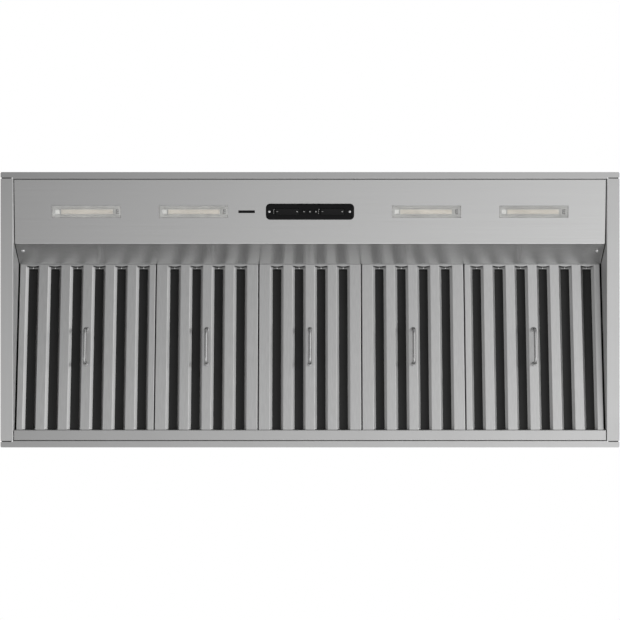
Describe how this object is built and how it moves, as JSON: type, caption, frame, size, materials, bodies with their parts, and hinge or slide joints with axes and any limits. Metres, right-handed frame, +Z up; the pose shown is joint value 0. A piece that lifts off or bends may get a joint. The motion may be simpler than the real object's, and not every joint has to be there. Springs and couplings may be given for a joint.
{
  "type": "range hood insert",
  "caption": "Built-in range hood insert: stainless casing with light panel, control, baffle filters, blower and duct collar with damper.",
  "frame": {"origin": "centre of the rim's underside plane, midway between the rim's edges", "axes": "+Z up through the hood, -Y to the front edge with the lamps and control, +X to the right of someone at the cooktop"},
  "size_m": [1.178, 0.524, 0.38],
  "materials": {
    "brushed_steel": "fine brushed stainless",
    "polished_steel": "polished",
    "zinc_sheet": "zinc-coated sheet",
    "black_plastic": "satin",
    "lamp_cover": "clear, lightly frosted",
    "lamp_tray": "matte",
    "lamp_board": "matte with lamp chips",
    "circuit_board": "matte",
    "motor_paint": "satin"
  },
  "bodies": {
    "casing": {"front_panel": "brushed_steel", "rear_panel": "brushed_steel", "left_side_panel": "brushed_steel", "right_side_panel": "brushed_steel", "top_panel": "brushed_steel", "light_panel": "brushed_steel", "rear_filter_ledge": "brushed_steel", "left_panel_bracket": "zinc_sheet", "right_panel_bracket": "zinc_sheet", "left_panel_screw": "polished_steel", "right_panel_screw": "polished_steel", "led_tray_1": "lamp_tray", "led_tray_2": "lamp_tray", "led_tray_3": "lamp_tray", "led_tray_4": "lamp_tray", "led_board_1": "lamp_board", "led_board_2": "lamp_board", "led_board_3": "lamp_board", "led_board_4": "lamp_board", "led_lens_1": "lamp_cover", "led_lens_2": "lamp_cover", "led_lens_3": "lamp_cover", "led_lens_4": "lamp_cover", "control_housing": "black_plastic", "control_board": "circuit_board", "sensor_window": "black_plastic", "scroll_left": "zinc_sheet", "scroll_right": "zinc_sheet", "blower_motor": "motor_paint", "motor_cradle": "zinc_sheet", "duct_plenum": "zinc_sheet", "duct_collar": "zinc_sheet", "damper_pin": "polished_steel", "junction_box": "zinc_sheet", "junction_cover": "zinc_sheet"},
    "filter_1": {"filter_face_1": "brushed_steel", "filter_baffles_1": "brushed_steel", "filter_handle_1": "polished_steel"},
    "filter_2": {"filter_face_2": "brushed_steel", "filter_baffles_2": "brushed_steel", "filter_handle_2": "polished_steel"},
    "filter_3": {"filter_face_3": "brushed_steel", "filter_baffles_3": "brushed_steel", "filter_handle_3": "polished_steel"},
    "filter_4": {"filter_face_4": "brushed_steel", "filter_baffles_4": "brushed_steel", "filter_handle_4": "polished_steel"},
    "filter_5": {"filter_face_5": "brushed_steel", "filter_baffles_5": "brushed_steel", "filter_handle_5": "polished_steel"},
    "light_rocker": {"light_rocker": "black_plastic"},
    "fan_rocker": {"fan_rocker": "black_plastic"},
    "button_1": {"button_1": "black_plastic"},
    "button_2": {"button_2": "black_plastic"},
    "button_3": {"button_3": "black_plastic"},
    "blower_rotor": {"blower_shaft": "polished_steel", "left_wheel": "zinc_sheet", "right_wheel": "zinc_sheet"},
    "front_damper": {"front_flap": "zinc_sheet"},
    "rear_damper": {"rear_flap": "zinc_sheet"}
  },
  "joints": [
    {"name": "filter_1_swing", "type": "hinge", "parent": "casing", "child": "filter_1", "pos_m": [-0.4306, 0.2292, 0.0112], "axis": [1, 0, 0], "range_deg": [0, 50]},
    {"name": "filter_2_swing", "type": "hinge", "parent": "casing", "child": "filter_2", "pos_m": [-0.1988, 0.2292, 0.0112], "axis": [1, 0, 0], "range_deg": [0, 50]},
    {"name": "filter_3_swing", "type": "hinge", "parent": "casing", "child": "filter_3", "pos_m": [0, 0.2292, 0.0112], "axis": [1, 0, 0], "range_deg": [0, 50]},
    {"name": "filter_4_swing", "type": "hinge", "parent": "casing", "child": "filter_4", "pos_m": [0.1988, 0.2292, 0.0112], "axis": [1, 0, 0], "range_deg": [0, 50]},
    {"name": "filter_5_swing", "type": "hinge", "parent": "casing", "child": "filter_5", "pos_m": [0.4306, 0.2292, 0.0112], "axis": [1, 0, 0], "range_deg": [0, 50]},
    {"name": "light_rocker_tilt", "type": "hinge", "parent": "casing", "child": "light_rocker", "pos_m": [-0.0434, -0.18711, 0.00768], "axis": [0, 0.998, 0.0629], "range_deg": [-3, 3], "stiffness_Nm_per_rad": 0.5},
    {"name": "fan_rocker_tilt", "type": "hinge", "parent": "casing", "child": "fan_rocker", "pos_m": [0.0426, -0.18711, 0.00768], "axis": [0, 0.998, 0.0629], "range_deg": [-3, 3], "stiffness_Nm_per_rad": 0.5},
    {"name": "button_1_press", "type": "slide", "parent": "casing", "child": "button_1", "axis": [0, -0.0629, 0.998], "range_m": [0, 0.0012], "stiffness_N_per_m": 1500},
    {"name": "button_2_press", "type": "slide", "parent": "casing", "child": "button_2", "axis": [0, -0.0629, 0.998], "range_m": [0, 0.0012], "stiffness_N_per_m": 1500},
    {"name": "button_3_press", "type": "slide", "parent": "casing", "child": "button_3", "axis": [0, -0.0629, 0.998], "range_m": [0, 0.0012], "stiffness_N_per_m": 1500},
    {"name": "blower_spin", "type": "hinge", "parent": "casing", "child": "blower_rotor", "pos_m": [0, -0.054, 0.19], "axis": [1, 0, 0], "continuous": true},
    {"name": "front_flap_swing", "type": "hinge", "parent": "casing", "child": "front_damper", "pos_m": [0, 0.03, 0.3506], "axis": [-1, 0, 0], "range_deg": [0, 78]},
    {"name": "rear_flap_swing", "type": "hinge", "parent": "casing", "child": "rear_damper", "pos_m": [0, 0.03, 0.3506], "axis": [1, 0, 0], "range_deg": [0, 78]}
  ]
}
